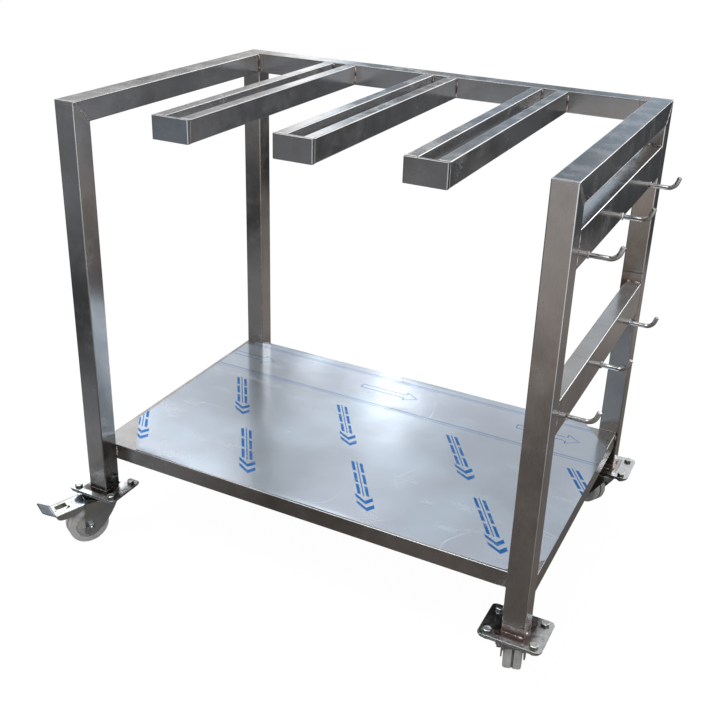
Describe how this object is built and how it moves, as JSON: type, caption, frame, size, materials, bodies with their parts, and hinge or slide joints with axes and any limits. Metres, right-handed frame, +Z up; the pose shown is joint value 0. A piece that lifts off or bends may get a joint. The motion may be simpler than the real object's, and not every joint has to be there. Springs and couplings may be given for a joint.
{
  "type": "mobile shelf rack",
  "caption": "Mobile stainless frame on swivel casters with braked front wheels, a low shelf, slotted top arms and upturned hooks on side rails.",
  "frame": {"origin": "on the floor below the middle of the rack's bounding box, hooks and brake pedals included", "axes": "+X along the long side towards the side with the hooks, +Y from the open front towards the rear rail, +Z up"},
  "size_m": [1.017, 0.7578, 0.88],
  "materials": {
    "stainless": "satin",
    "bright_stainless": "satin",
    "zinc": "semi-gloss",
    "galvanised": "satin",
    "yellow_zinc": "satin",
    "grey_wheel": "matte",
    "film": "gloss"
  },
  "bodies": {
    "frame": {"front_left_post": "stainless", "front_right_post": "stainless", "rear_left_post": "stainless", "rear_right_post": "stainless", "left_top_rail": "stainless", "right_top_rail": "stainless", "rear_top_rail": "stainless", "left_arm_left_tube": "stainless", "left_arm_right_tube": "stainless", "left_arm_end_plate": "bright_stainless", "middle_arm_left_tube": "stainless", "middle_arm_right_tube": "stainless", "middle_arm_end_plate": "bright_stainless", "right_arm_left_tube": "stainless", "right_arm_right_tube": "stainless", "right_arm_end_plate": "bright_stainless", "upper_hook_rail": "stainless", "lower_hook_rail": "stainless", "upper_hooks": "bright_stainless", "lower_hooks": "bright_stainless", "shelf_tray": "stainless", "shelf_stiffener": "stainless", "protective_film": "film", "front_left_foot_plate": "galvanised", "front_right_foot_plate": "galvanised", "rear_left_foot_plate": "galvanised", "rear_right_foot_plate": "galvanised", "mounting_bolts": "zinc", "mounting_nuts": "zinc", "front_left_top_plate": "zinc", "front_right_top_plate": "zinc", "rear_left_top_plate": "zinc", "rear_right_top_plate": "zinc", "front_left_ball_race": "zinc", "front_right_ball_race": "zinc", "rear_left_ball_race": "zinc", "rear_right_ball_race": "zinc", "front_left_kingpin": "zinc", "front_right_kingpin": "zinc", "rear_left_kingpin": "zinc", "rear_right_kingpin": "zinc"},
    "front_left_caster": {"front_left_fork": "zinc", "front_left_axle": "zinc", "front_left_pedal_pin": "zinc"},
    "front_left_wheel": {"front_left_wheel": "grey_wheel"},
    "front_right_caster": {"front_right_fork": "zinc", "front_right_axle": "zinc", "front_right_pedal_pin": "zinc"},
    "front_right_wheel": {"front_right_wheel": "grey_wheel"},
    "rear_left_caster": {"rear_left_fork": "zinc", "rear_left_axle": "zinc"},
    "rear_left_wheel": {"rear_left_wheel": "grey_wheel"},
    "rear_right_caster": {"rear_right_fork": "zinc", "rear_right_axle": "zinc"},
    "rear_right_wheel": {"rear_right_wheel": "grey_wheel"},
    "front_left_brake": {"front_left_brake_pedal": "zinc", "front_left_brake_shoe": "yellow_zinc"},
    "front_right_brake": {"front_right_brake_pedal": "zinc", "front_right_brake_shoe": "yellow_zinc"}
  },
  "joints": [
    {"name": "front_left_swivel", "type": "hinge", "parent": "frame", "child": "front_left_caster", "pos_m": [-0.42456, -0.2545, 0.106], "axis": [0, 0, 1], "continuous": true},
    {"name": "front_left_roll", "type": "hinge", "parent": "front_left_caster", "child": "front_left_wheel", "pos_m": [-0.44556, -0.29088, 0.04], "axis": [0.866, -0.5, 0], "continuous": true},
    {"name": "front_right_swivel", "type": "hinge", "parent": "frame", "child": "front_right_caster", "pos_m": [0.43544, -0.2545, 0.106], "axis": [0, 0, 1], "continuous": true},
    {"name": "front_right_roll", "type": "hinge", "parent": "front_right_caster", "child": "front_right_wheel", "pos_m": [0.42386, -0.21413, 0.04], "axis": [-0.9613, -0.2756, 0], "continuous": true},
    {"name": "rear_left_swivel", "type": "hinge", "parent": "frame", "child": "rear_left_caster", "pos_m": [-0.42456, 0.32549, 0.106], "axis": [0, 0, 1], "continuous": true},
    {"name": "rear_left_roll", "type": "hinge", "parent": "rear_left_caster", "child": "rear_left_wheel", "pos_m": [-0.3851, 0.33986, 0.04], "axis": [-0.342, 0.9397, 0], "continuous": true},
    {"name": "rear_right_swivel", "type": "hinge", "parent": "frame", "child": "rear_right_caster", "pos_m": [0.43544, 0.32549, 0.106], "axis": [0, 0, 1], "continuous": true},
    {"name": "rear_right_roll", "type": "hinge", "parent": "rear_right_caster", "child": "rear_right_wheel", "pos_m": [0.39906, 0.34649, 0.04], "axis": [-0.5, -0.866, 0], "continuous": true},
    {"name": "front_left_brake", "type": "hinge", "parent": "front_left_caster", "child": "front_left_brake", "pos_m": [-0.44556, -0.29088, 0.086], "axis": [0.866, -0.5, 0], "range_deg": [0, 8]},
    {"name": "front_right_brake", "type": "hinge", "parent": "front_right_caster", "child": "front_right_brake", "pos_m": [0.42386, -0.21413, 0.086], "axis": [-0.9613, -0.2756, 0], "range_deg": [0, 8]}
  ]
}
